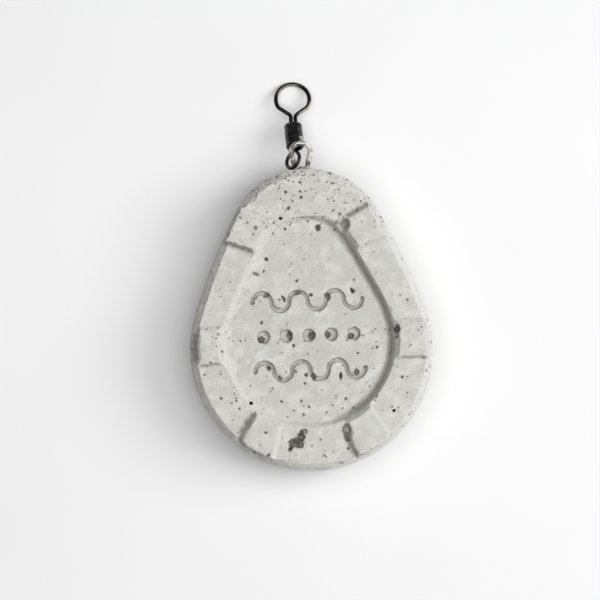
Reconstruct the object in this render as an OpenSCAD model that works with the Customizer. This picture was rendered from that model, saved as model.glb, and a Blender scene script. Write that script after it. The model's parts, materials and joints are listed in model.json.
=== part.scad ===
// Cast fishing sinker: an egg-shaped concrete weight with a wire loop cast into its
// narrow end, and a barrel swivel hanging from the loop. All sizes are in millimetres.
// The sinker lies on its back: the back face is at z = 0, the face with the panel
// looks up (+Z) and the loop is at the +Y end. The origin is on the back face, under
// the centre of the broad lower end.

/* [Casting outline] */
// Radius of the broad lower end
lower_r = 27.8; // [25:0.2:32]
// Radius of the narrow upper end
upper_r = 18.4; // [17:0.2:21]
// Distance between the centres of the two ends
ends_gap = 23.2; // [20:0.2:30]
// Radius of the long, almost straight sides
side_r = 150; // [90:5:400]

/* [Casting thickness] */
// Thickness from the back face to the face of the rim
rim_t = 15; // [13:0.2:18]
// Rise of the pads above the face of the rim
pad_rise = 1; // [0.4:0.1:1.4]
// Width and height of the bevel round the face of the rim
rim_bevel = 1.5; // [0.8:0.1:2]
// Width and height of the bevel round the back face
back_bevel = 0.8; // [0.3:0.1:2]

/* [Front panel] */
// Radius of the panel's lower end, at the face of the rim
panel_lower_r = 20; // [17:0.5:22]
// Radius of the panel's upper end, at the face of the rim
panel_upper_r = 12.1; // [10:0.1:13]
// Distance between the centres of the panel's two ends
panel_gap = 16.8; // [15:0.2:20]
// Radius of the panel's long sides
panel_side_r = 160; // [60:2:200]
// Height of the panel's lower centre above the casting's lower centre
panel_shift = 2; // [0:0.2:3]
// Distance of the panel's middle to the left of the casting's middle
panel_offset = 0.6; // [0:0.1:1.2]
// Depth of the panel's floor under the face of the rim, and width of its sloped wall
panel_depth = 1.4; // [0.6:0.1:1.6]

/* [Raised pads] */
// Width of the slope on the outer side of the pads
pad_slope_w = 1.4; // [0.8:0.1:2]
// Width of the faces of the two middle pads
middle_pad_w = 7.3; // [5:0.1:9]
// Height of the middle pads above the casting's lower centre
middle_pad_y = 1.6; // [-2:0.1:4]
// Width of the faces of the two upper pads, halfway across the rim
upper_pad_w = 7.1; // [5:0.1:9]
// Height on the centre line that the upper pads point away from
upper_pad_y = 21.9; // [18:0.1:24]
// Angle that the upper pads point upwards by
upper_pad_angle = 24; // [18:1:30]
// Angle that each side of an upper pad opens outwards by
upper_flare = 4; // [0:1:8]
// Width of the faces of the two lower pads, halfway across the rim
lower_pad_w = 6.9; // [5:0.1:9]
// Height on the centre line that the lower pads point away from
lower_pad_y = 8; // [4:0.2:12]
// Angle that the lower pads point downwards by
lower_pad_angle = 66; // [58:1:72]
// Angle that each side of a lower pad opens outwards by
lower_flare = 8; // [0:1:12]

/* [Front marks] */
// Width of the pressed grooves
groove_w = 1; // [0.6:0.1:1.4]
// Depth of the pressed grooves and dimples under the panel's floor
groove_depth = 0.8; // [0.4:0.1:1.2]
// Bend radius of a wave, at the middle of its groove
wave_r = 2.1; // [1.6:0.1:2.4]
// Number of half waves in each wavy groove
half_waves = 6; // [4:2:6]
// Diameter of the dimples between the wavy grooves
dimple_d = 3; // [2:0.1:4]
// Number of dimples
dimples = 5; // [3:1:5]
// Distance between the dimples' centres
dimple_pitch = 5.2; // [4.4:0.1:5.6]
// Distance from the row of dimples to the middle of each wavy groove
row_gap = 8; // [7:0.2:9]
// Height of the row of dimples above the casting's lower centre
marks_y = 3.3; // [1:0.1:4]

/* [Wire loop] */
// Diameter of the loop's wire
wire_d = 1.2; // [0.8:0.1:1.4]
// Radius of the loop, at the middle of the wire
loop_r = 2.2; // [1.9:0.05:2.8]
// Distance from the casting's top to the centre of the loop, along the tilted loop
loop_reach = 4.6; // [4:0.1:6]
// Angle that the loop is bent up by, over the swivel
loop_tilt = 28; // [24:1:34]
// Angle that each leg closes in by on its way to the casting
leg_taper = 12; // [6:1:16]
// Height above the back face at which the wire leaves the casting
wire_z = 7.1; // [6.6:0.1:9]
// Distance of the loop's middle to the left of the casting's middle
loop_offset = 0.55; // [0:0.05:2]
// Depth in the casting at which the legs bend level
elbow_depth = 1.6; // [1:0.1:3]
// Length of the level legs in the casting
anchor_len = 15; // [8:0.5:20]
// Length of the feet that hook outwards in the casting
foot_len = 5; // [3:0.5:7]
// Bend radius between a leg and its foot, at the middle of the wire
foot_bend = 1.8; // [1:0.1:3]
// Turn from a leg to its foot
foot_angle = 60; // [30:5:80]
// Gap between the wire and the concrete round it
bond_gap = 0.03; // [0.02:0.01:0.05]
// Radius of the concrete lump between the legs
collar_r = 1.3; // [0.9:0.1:1.6]
// Height of that lump above the casting's top
collar_rise = 0.75; // [0.3:0.05:1]

/* [Link eye] */
// Diameter of the wire of the small eye
link_wire_d = 0.84; // [0.7:0.02:0.9]
// Free play of the loop's wire in the small eye, on each side
link_play = 0.98; // [0.9:0.02:1.2]
// Distance along the loop's leg from the casting's top to the small eye
link_seat = 2.5; // [2.3:0.05:2.8]
// Drop of the small eye's centre under the loop's wire
link_sag = 0.5; // [0.4:0.05:0.6]
// Turn of the small eye about its own length
link_roll = 48; // [44:1:52]
// Angle that the small eye points to the left by, looking back at the casting
link_lean = 8.8; // [6:0.1:10]

/* [Swivel barrel] */
// Outer diameter of the barrel
barrel_d = 4.16; // [3.9:0.02:4.6]
// Length of the barrel
barrel_len = 6.2; // [5:0.1:8]
// Wall thickness of the barrel
barrel_wall = 0.45; // [0.3:0.01:0.5]
// Radius of the rolled-in edge at each end
barrel_round = 0.68; // [0.5:0.02:0.7]
// Angle that the barrel leans to the left by, away from the casting
barrel_lean = 2.7; // [0:0.1:8]
// Play between the inside of the barrel and the heads that turn in it
head_play = 0.18; // [0.08:0.01:0.2]
// Thickness of the heads
head_t = 1; // [0.8:0.05:1.2]
// Play between the legs of an eye and the barrel's end, when the eye stands straight
neck_play = 0.34; // [0.3:0.01:0.36]

/* [Line eye] */
// Diameter of the wire of the large eye
line_wire_d = 0.94; // [0.7:0.02:1]
// Radius of the large eye, at the middle of the wire
line_eye_r = 3.86; // [3.2:0.02:5]
// Distance from the barrel's end to the centre of the large eye
line_reach = 6.2; // [5.8:0.1:8]
// Angle that the large eye leans to the left by, away from the casting; less than zero
// leans it to the right
line_lean = -1.4; // [-3:0.1:4]
// Height of the large eye's lowest point above the ground
ground_gap = 0.03; // [0:0.01:0.1]

/* [Hidden] */
$fn = 96;
// Overrun of every cut past the surface that it opens
cut = 1;

// Casting: heights of its faces and of its bevel
bevel_h = rim_bevel + pad_rise;
bevel_z = rim_t - rim_bevel;
casting_top = ends_gap + upper_r;
panel_floor_z = rim_t - panel_depth;

// Middles of the rim, as seen from the points that the pads point away from
middle_mid_r = (lower_r + panel_lower_r) / 2;
upper_mid_r = (upper_r + panel_upper_r) / 2;
lower_mid_r = middle_mid_r + lower_pad_y * sin(lower_pad_angle);

// Pads: [bearing, height on the centre line, width halfway across the rim, flare of
// each side, distance to the middle of the rim]
pad_rows = [
  [0, middle_pad_y, middle_pad_w, 0, middle_mid_r],
  [180, middle_pad_y, middle_pad_w, 0, middle_mid_r],
  [upper_pad_angle, upper_pad_y, upper_pad_w, upper_flare, upper_mid_r],
  [180 - upper_pad_angle, upper_pad_y, upper_pad_w, upper_flare, upper_mid_r],
  [-lower_pad_angle, lower_pad_y, lower_pad_w, lower_flare, lower_mid_r],
  [lower_pad_angle - 180, lower_pad_y, lower_pad_w, lower_flare, lower_mid_r],
];

// Air holes left in the face: places as shares of the lower radius, across and up, and
// radii as shares of the panel's depth
hole_shares = [
  [0.376, 1.047, 0.6],
  [0.712, 0.138, 0.5],
  [0.248, -0.669, 0.68],
  [0.092, 1.006, 0.39],
  [-0.155, -0.748, 0.64],
  [-0.115, -0.679, 0.43],
  [-0.207, -0.785, 0.39],
  [-0.217, 1.094, 0.3],
  [0.654, -0.532, 0.26],
  [-0.522, -0.422, 0.3],
];
// Part of an air hole's radius that its centre lies under the surface by
hole_sink_share = 0.3;

// Loop: its plane starts at the casting's top, at the height of the wire
loop_x = -loop_offset;
leg_start_x = loop_r * cos(leg_taper);
leg_start_v = loop_reach - loop_r * sin(leg_taper);
leg_exit_x = leg_start_x - leg_start_v * tan(leg_taper);
elbow_x = leg_exit_x - elbow_depth * tan(leg_taper);
elbow_z = wire_z - elbow_depth * sin(loop_tilt);

// Small eye: where the loop's wire passes through it, its centre and its radius
seat_x = loop_x - leg_exit_x - link_seat * tan(leg_taper);
seat = [seat_x, casting_top + link_seat * cos(loop_tilt), wire_z + link_seat * sin(loop_tilt)];
link_centre = seat - [0, 0, link_sag];
link_eye_r = (wire_d + link_wire_d) / 2 + link_play;

// Wires: a bead is a little thicker than its wire, which stops a little short of the
// bead's middle. These are shares of the wire's diameter, first for the small turns and
// then for the loop's elbows in the casting.
bead_share = 1.04;
short_share = 0.06;
elbow_bead_share = 1.12;
elbow_short_share = 0.15;

// Eyes: turn of each side past the middle of the round part, turn of the large eye's
// corners, and the corners' radius as a share of the eye's
eye_turn = 54;
corner_turn = 34;
corner_r_share = 0.52;
// Bend at the neck and gap between the two legs, as shares of the wire's diameter
neck_bend_share = 1.2;
leg_gap_share = 0.1;

// Barrel and heads
barrel_r = barrel_d / 2;
barrel_in_r = barrel_r - barrel_wall;
head_r = barrel_in_r - head_play;
widest_neck = max(link_wire_d, line_wire_d) * (1 + leg_gap_share / 2);
hole_r = widest_neck + neck_play;
// Depth of a head's middle in the barrel, with room for the small eye to lean
lean_room = head_r * sin(link_lean + barrel_lean);
head_depth = barrel_wall + head_t / 2 + lean_room;

// Small eye: distance from its centre to its head, which lies in the barrel
link_reach = link_eye_r + link_wire_d;
link_len = link_reach + head_depth;

// Swivel: it droops until the large eye's tip lies on the ground
line_len = line_reach + head_depth;
swivel_len = link_len + barrel_len - 2 * head_depth + line_len + line_eye_r;
tip_z = line_wire_d / 2 + ground_gap;
droop = asin((link_centre[2] - tip_z) / swivel_len);
link_head = link_centre + link_len * way(-link_lean, droop);
barrel_way = way(barrel_lean, droop);
barrel_start = link_head - head_depth * barrel_way;
line_head = barrel_start + (barrel_len - head_depth) * barrel_way;

// Direction that leans to the left of +Y and down by the given angles
function way(lean, down) = [-sin(lean) * cos(down), cos(lean) * cos(down), -sin(down)];

// Egg of one height, whose outline shrinks evenly from its bottom to its top.
// The side arcs touch both end circles, so each end circle runs on into them.
module egg(h, low_r, high_r, gap, long_r, inset_bottom, inset_top) {
  to_low = long_r - low_r;
  to_high = long_r - high_r;
  side_y = (to_low * to_low - to_high * to_high + gap * gap) / (2 * gap);
  side_x = sqrt(to_low * to_low - side_y * side_y);
  // The wedge between the two lines of touch reaches well past the side
  low_reach = 2 * long_r / to_low - 1;
  high_reach = 2 * long_r / to_high - 1;
  cylinder(h = h, r1 = low_r - inset_bottom, r2 = low_r - inset_top);
  translate([0, gap, 0]) cylinder(h = h, r1 = high_r - inset_bottom, r2 = high_r - inset_top);
  linear_core(h, gap, (low_r + high_r) / 4);
  for (side = [0, 1]) mirror([side, 0, 0]) intersection() {
    translate([-side_x, side_y, 0])
      cylinder(h = h, r1 = long_r - inset_bottom, r2 = long_r - inset_top, $fn = 360);
    linear_extrude(h) polygon([
      [0, 0],
      [side_x * low_reach, -side_y * low_reach],
      [side_x * high_reach, gap + (gap - side_y) * high_reach],
      [0, gap],
    ]);
  }
}

// Block along the centre line that joins the two halves of an egg
module linear_core(h, gap, half_w) {
  translate([-half_w, 0, 0]) cube([2 * half_w, gap, h]);
}

module outer_egg(h, inset_bottom, inset_top) {
  egg(h, lower_r, upper_r, ends_gap, side_r, inset_bottom, inset_top);
}

// Bead that joins two stretches of wire
module bead(d) {
  sphere(d = d * bead_share, $fn = 32);
}

// Straight stretch of wire between two points, a little short of both, or as much short
// of the second as is asked for
module rod(from, to, d, short_end = -1) {
  span = to - from;
  short = short_share * d;
  last = short_end < 0 ? short : short_end;
  translate(from)
    rotate([0, acos(span[2] / norm(span)), atan2(span[1], span[0])])
      translate([0, 0, short]) cylinder(h = norm(span) - short - last, d = d, $fn = 32);
}

// Bent stretch of wire round the origin, from +X on to the left, a little short of both ends
module arc(bend, turn, d) {
  trim = short_share * d / bend * 180 / PI;
  rotate([0, 0, trim]) rotate_extrude(angle = turn - 2 * trim)
    translate([bend, 0]) circle(d = d, $fn = 32);
}

// Wire that runs along +Y and follows steps of [straight length, bend radius, turn].
// A turn to the right is positive. It starts with a bead, if asked for.
module bent_wire(steps, d, i = 0, start_bead = true) {
  if (i < len(steps)) {
    length = steps[i][0];
    bend = steps[i][1];
    turn = steps[i][2];
    side = turn < 0 ? -1 : 1;
    if (start_bead) bead(d);
    if (length > 0) rod([0, 0, 0], [0, length, 0], d);
    translate([0, length, 0]) {
      if (length > 0 && turn != 0) bead(d);
      if (turn != 0)
        translate([side * bend, 0, 0]) rotate([0, 0, turn > 0 ? 180 - turn : 0])
          arc(bend, abs(turn), d);
      translate([side * bend * (1 - cos(turn)), bend * abs(sin(turn)), 0])
        rotate([0, 0, -turn]) bent_wire(steps, d, i + 1);
    }
  }
}

// Eye bent from one wire: its head is at the origin and its round part lies along +Y.
// The round part has radius r down to its corners, which turn by corner on corner_r.
module wire_eye(d, r, reach, corner_r, corner) {
  neck_bend = neck_bend_share * d;
  leg_x = d * (1 + leg_gap_share) / 2;
  low = eye_turn - corner;
  corner_x = (r - corner_r) * cos(low) + corner_r * cos(eye_turn);
  corner_y = -(r - corner_r) * sin(low) - corner_r * sin(eye_turn);
  slant = (corner_x - leg_x - neck_bend * (1 - cos(eye_turn))) / sin(eye_turn);
  neck_y = reach + corner_y - slant * cos(eye_turn) - neck_bend * sin(eye_turn);
  neck = [[slant, neck_bend, -eye_turn], [neck_y, 0, 0]];
  steps = corner > 0 ? concat([[0, corner_r, corner]], neck) : neck;
  translate([0, reach, 0]) {
    rotate([0, 0, -low]) arc(r, 180 + 2 * low, d);
    for (side = [0, 1]) mirror([side, 0, 0])
      rotate([0, 0, -low]) translate([r, 0, 0]) rotate([0, 0, 180]) bent_wire(steps, d);
  }
  rotate([-90, 0, 0]) intersection() {
    sphere(r = head_r);
    translate([0, 0, -head_t / 2]) cylinder(h = head_t, r = head_r + cut);
  }
}

// One sloped side of a pad: everything to its left, looking outwards
module pad_side(half_w, flare, mid_r) {
  reach = lower_r + ends_gap;
  translate([mid_r, 0, 0]) rotate([0, 0, flare])
    rotate([90, 0, 90]) translate([0, 0, -reach]) linear_extrude(2 * reach) polygon([
      [-reach, 0],
      [half_w + pad_rise, 0],
      [half_w, pad_rise],
      [half_w, pad_rise + cut],
      [-reach, pad_rise + cut],
    ]);
}

// The six pads, from inside the rim to just past their faces
module pads() {
  intersection() {
    translate([0, 0, bevel_z]) outer_egg(bevel_h, 0, pad_slope_w);
    union() for (row = pad_rows) {
      inner_r = panel_lower_r - back_bevel;
      translate([0, row[1], rim_t]) rotate([0, 0, row[0]]) intersection() {
        pad_side(row[2] / 2, row[3], row[4]);
        mirror([0, 1, 0]) pad_side(row[2] / 2, row[3], row[4]);
        translate([panel_upper_r / 2, -inner_r, 0]) cube([2 * lower_r, 2 * inner_r, pad_rise + cut]);
      }
    }
  }
}

// Wavy groove of half rings, centred on the origin
module wave() {
  for (i = [0:half_waves - 1])
    translate([(2 * i + 1 - half_waves) * wave_r, 0, 0])
      rotate([0, 0, i % 2 == 0 ? 0 : 180])
        rotate_extrude(angle = 180)
          translate([wave_r - groove_w / 2, 0]) square([groove_w, groove_depth + cut]);
  for (end = [-1, 1])
    translate([end * half_waves * wave_r, 0, 0])
      cylinder(h = groove_depth + cut, d = groove_w);
}

module marks() {
  translate([-panel_offset, marks_y, panel_floor_z - groove_depth]) {
    for (row = [-1, 1]) translate([0, row * row_gap, 0]) wave();
    for (i = [0:dimples - 1])
      translate([(i - (dimples - 1) / 2) * dimple_pitch, 0, 0])
        cylinder(h = groove_depth + cut, d = dimple_d);
  }
}

module air_holes() {
  for (hole = hole_shares) {
    r = hole[2] * panel_depth;
    translate([hole[0] * lower_r, hole[1] * lower_r, panel_floor_z - hole_sink_share * r])
      cylinder(h = panel_depth + pad_rise + cut, r = r);
    translate([hole[0] * lower_r, hole[1] * lower_r, panel_floor_z - hole_sink_share * r])
      sphere(r = r);
  }
}

// The loop's wire, grown by a gap on every side
module loop_wire(gap) {
  d = wire_d + 2 * gap;
  translate([loop_x, casting_top, wire_z]) rotate([loop_tilt, 0, 0])
    translate([0, loop_reach, 0]) rotate([0, 0, -leg_taper])
      arc(loop_r, 180 + 2 * leg_taper, d);
  start_y = casting_top + leg_start_v * cos(loop_tilt);
  start_z = wire_z + leg_start_v * sin(loop_tilt);
  elbow_y = casting_top - elbow_depth * cos(loop_tilt);
  anchor = [[anchor_len, foot_bend, foot_angle], [foot_len + gap, 0, 0]];
  translate([loop_x, 0, 0]) for (side = [0, 1]) mirror([side, 0, 0]) {
    start = [-leg_start_x, start_y, start_z];
    elbow = [-elbow_x, elbow_y, elbow_z];
    translate(start) bead(d);
    rod(start, elbow, d, elbow_short_share * d);
    translate(elbow) {
      sphere(d = d * elbow_bead_share, $fn = 32);
      translate([0, -elbow_short_share * d, 0]) rotate([0, 0, 180])
        bent_wire(anchor, d, 0, false);
    }
  }
}

module cast_body() {
  color([0.83, 0.82, 0.79]) difference() {
    union() {
      outer_egg(back_bevel, back_bevel, 0);
      translate([0, 0, back_bevel]) outer_egg(bevel_z - back_bevel, 0, 0);
      translate([0, 0, bevel_z]) outer_egg(rim_bevel, 0, rim_bevel);
      pads();
      translate([loop_x, casting_top + collar_rise - collar_r, wire_z]) sphere(r = collar_r);
    }
    translate([-panel_offset, panel_shift, panel_floor_z])
      egg(panel_depth + pad_rise + cut, panel_lower_r, panel_upper_r, panel_gap, panel_side_r,
        panel_depth, -pad_rise - cut);
    marks();
    air_holes();
    loop_wire(bond_gap);
  }
}

module wire_loop() {
  color([0.62, 0.61, 0.58]) loop_wire(0);
}

module link_eye() {
  color([0.12, 0.12, 0.13])
    translate(link_head)
      rotate([0, 0, 180 - link_lean]) rotate([droop, 0, 0]) rotate([0, link_roll, 0])
        wire_eye(link_wire_d, link_eye_r, link_len, link_eye_r, 0);
}

module swivel_barrel() {
  color([0.07, 0.07, 0.08])
    translate(barrel_start) rotate([0, 0, barrel_lean]) rotate([-90 - droop, 0, 0])
      difference() {
        union() {
          cylinder(h = barrel_len, r = barrel_r - barrel_round);
          translate([0, 0, barrel_round]) cylinder(h = barrel_len - 2 * barrel_round, r = barrel_r);
          for (end = [barrel_round, barrel_len - barrel_round])
            translate([0, 0, end]) rotate_extrude()
              translate([barrel_r - barrel_round, 0]) circle(r = barrel_round, $fn = 48);
        }
        translate([0, 0, barrel_wall]) cylinder(h = barrel_len - 2 * barrel_wall, r = barrel_in_r);
        translate([0, 0, -cut]) cylinder(h = barrel_len + 2 * cut, r = hole_r);
      }
}

module line_eye() {
  color([0.12, 0.12, 0.13])
    translate(line_head) rotate([0, 0, line_lean]) rotate([-droop, 0, 0])
      wire_eye(line_wire_d, line_eye_r, line_len, line_eye_r * corner_r_share, corner_turn);
}

cast_body();
wire_loop();
link_eye();
swivel_barrel();
line_eye();
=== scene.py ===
import json
import math
import random

import bmesh
import bpy
import numpy as np
from mathutils import Matrix, Vector, kdtree, noise


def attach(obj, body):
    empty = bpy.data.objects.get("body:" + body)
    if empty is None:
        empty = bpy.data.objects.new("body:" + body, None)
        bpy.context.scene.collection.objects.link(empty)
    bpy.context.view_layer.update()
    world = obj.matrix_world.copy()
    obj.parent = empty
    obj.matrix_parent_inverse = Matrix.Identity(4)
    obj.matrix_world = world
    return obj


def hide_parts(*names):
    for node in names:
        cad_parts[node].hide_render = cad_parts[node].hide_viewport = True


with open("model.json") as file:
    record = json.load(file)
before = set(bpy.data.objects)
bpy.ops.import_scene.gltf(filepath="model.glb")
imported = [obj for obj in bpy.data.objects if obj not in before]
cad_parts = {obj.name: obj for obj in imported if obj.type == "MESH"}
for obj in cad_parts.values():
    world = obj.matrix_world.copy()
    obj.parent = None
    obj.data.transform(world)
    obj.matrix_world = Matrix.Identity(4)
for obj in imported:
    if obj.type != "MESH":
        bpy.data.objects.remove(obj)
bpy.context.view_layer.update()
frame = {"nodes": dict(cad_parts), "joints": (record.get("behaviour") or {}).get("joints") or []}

# Sizes and places are in millimetres, which MM turns into metres, and angles in degrees
MM = 0.001

# The casting: heights above the table, then the marks pressed into its panel
RIM_Z = 15.0
PANEL_DEPTH = 1.4
PANEL_FLOOR = RIM_Z - PANEL_DEPTH
CASTING_TOP = 41.6      # distance from the origin to the narrow end
PANEL_MIDDLE_Y = 8.0
WAVES = 6
DIMPLES = 5
MARKS_X = -0.6
MARKS_Y = 3.3
ROW_GAP = 8.0
WAVE_R = 2.1
DIMPLE_PITCH = 5.2

# The loop cast into the narrow end
LOOP_WIRE = 1.2
LOOP_R = 2.2
LOOP_REACH = 4.6
LOOP_TILT = 28.0
LOOP_X = -0.55
LOOP_Z = 7.1
LEG_TAPER = 12.0
ELBOW_DEPTH = 1.6
ANCHOR_LEN = 15.0
FOOT_BEND = 1.8
FOOT_TURN = 60
FOOT_LEN = 5.0

# The swivel: two eyes whose heads turn in a barrel
SMALL_WIRE = 0.84
SMALL_EYE_PLAY = 0.98
SMALL_EYE_R = (LOOP_WIRE + SMALL_WIRE) / 2 + SMALL_EYE_PLAY
SMALL_EYE_ROLL = 48.0
SMALL_EYE_LEAN = 8.8
LARGE_WIRE = 0.94
LARGE_EYE_R = 3.86
LARGE_EYE_REACH = 6.2
LARGE_CORNER_R = 0.52 * LARGE_EYE_R
LARGE_CORNER_TURN = 34.0
EYE_TURN = 54.0         # how far the wire slants towards the neck
NECK_SHARE = 1.2        # bend at the neck, in wires
LEG_SHARE = 1.1         # distance between an eye's two legs, in wires
BARREL_R = 2.08
BARREL_LEN = 6.2
BARREL_WALL = 0.45
BARREL_ROUND = 0.68
NECK_PLAY = 0.34
HOLE_R = LARGE_WIRE * (LEG_SHARE + 1) / 2 + NECK_PLAY
HEAD_PLAY = 0.18
HEAD_R = BARREL_R - BARREL_WALL - HEAD_PLAY
HEAD_T = 1.0

WIRE_STEP = 0.16        # distance between the points of a wire's route


def joint_line(name):
    """Where a joint of the part is, in millimetres, and which way its axis runs."""
    joint = next(j for j in frame["joints"] if j["name"] == name)
    return Vector(joint["pos_m"]) / MM, Vector(joint["axis"]).normalized()


def lean_of(way):
    """How far a way leans to the left of straight up the casting, in degrees."""
    return math.degrees(math.atan2(-way.x, way.y))


BARREL_START, BARREL_WAY = joint_line("barrel_spin")
LARGE_HEAD, LARGE_WAY = joint_line("line_spin")
DROOP = math.degrees(math.asin(-BARREL_WAY.z))
LEAN_ROOM = HEAD_R * math.sin(math.radians(SMALL_EYE_LEAN + lean_of(BARREL_WAY)))
HEAD_DEPTH = BARREL_WALL + HEAD_T / 2 + LEAN_ROOM
SMALL_HEAD = BARREL_START + HEAD_DEPTH * BARREL_WAY


# Small helpers

def new_object(name, data):
    """An object in the scene that holds a mesh, a curve, a lamp or a camera."""
    piece = bpy.data.objects.new(name, data)
    bpy.context.scene.collection.objects.link(piece)
    return piece


def mesh_from(bm, name, smooth=True):
    """A mesh of a finished bmesh, with its faces pointing outwards."""
    bmesh.ops.recalc_face_normals(bm, faces=bm.faces)
    for face in bm.faces:
        face.smooth = smooth
    mesh = bpy.data.meshes.new(name)
    bm.to_mesh(mesh)
    bm.free()
    return mesh


def merged_copy(node, name):
    """A copy of a CAD node's mesh whose loose triangles are joined up."""
    bm = bmesh.new()
    bm.from_mesh(frame["nodes"][node].data)
    bmesh.ops.remove_doubles(bm, verts=bm.verts, dist=0.001 * MM)
    mesh = bpy.data.meshes.new(name)
    bm.to_mesh(mesh)
    bm.free()
    return new_object(name, mesh)


def evaluated(piece):
    """The piece as its modifiers and its curve make it."""
    return piece.evaluated_get(bpy.context.evaluated_depsgraph_get())


def apply_modifiers(piece):
    """Keeps what the modifiers of a piece make, and takes them off."""
    mesh = bpy.data.meshes.new_from_object(evaluated(piece))
    piece.modifiers.clear()
    piece.data = mesh


def read_vertices(mesh, what):
    flat = np.empty(len(mesh.vertices) * 3, dtype=np.float32)
    mesh.vertices.foreach_get(what, flat)
    return flat.reshape(-1, 3).astype(np.float64)


def get_points(mesh):
    return read_vertices(mesh, "co") / MM


def get_normals(mesh):
    return read_vertices(mesh, "normal")


def set_points(mesh, points):
    mesh.vertices.foreach_set("co", (points * MM).astype(np.float32).ravel())
    mesh.update()


def store(mesh, name, values):
    """Stores a share between 0 and 1 for each vertex, for a material to read."""
    layer = mesh.attributes.new(name, "FLOAT", "POINT")
    layer.data.foreach_set("value", np.clip(values, 0.0, 1.0).astype(np.float32))


def rough(points, size, seed):
    """Smooth noise between -1 and 1 over points in millimetres, with lumps of one size."""
    step = Vector((seed * 7.3, seed * 3.1, seed * 5.7))
    return np.array([noise.noise(Vector(p) / size + step) for p in points])


def smooth_step(low, high, x):
    t = np.clip((x - low) / (high - low), 0.0, 1.0)
    return t * t * (3.0 - 2.0 * t)


def turned_by(angle):
    """Cosine and sine of an angle in degrees."""
    return math.cos(math.radians(angle)), math.sin(math.radians(angle))


def dress(piece, body, node, material):
    """Gives a piece its material, the body it moves with and the node it stands for."""
    piece.data.materials.clear()
    piece.data.materials.append(material)
    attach(piece, body)
    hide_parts(node)


# Materials

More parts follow.
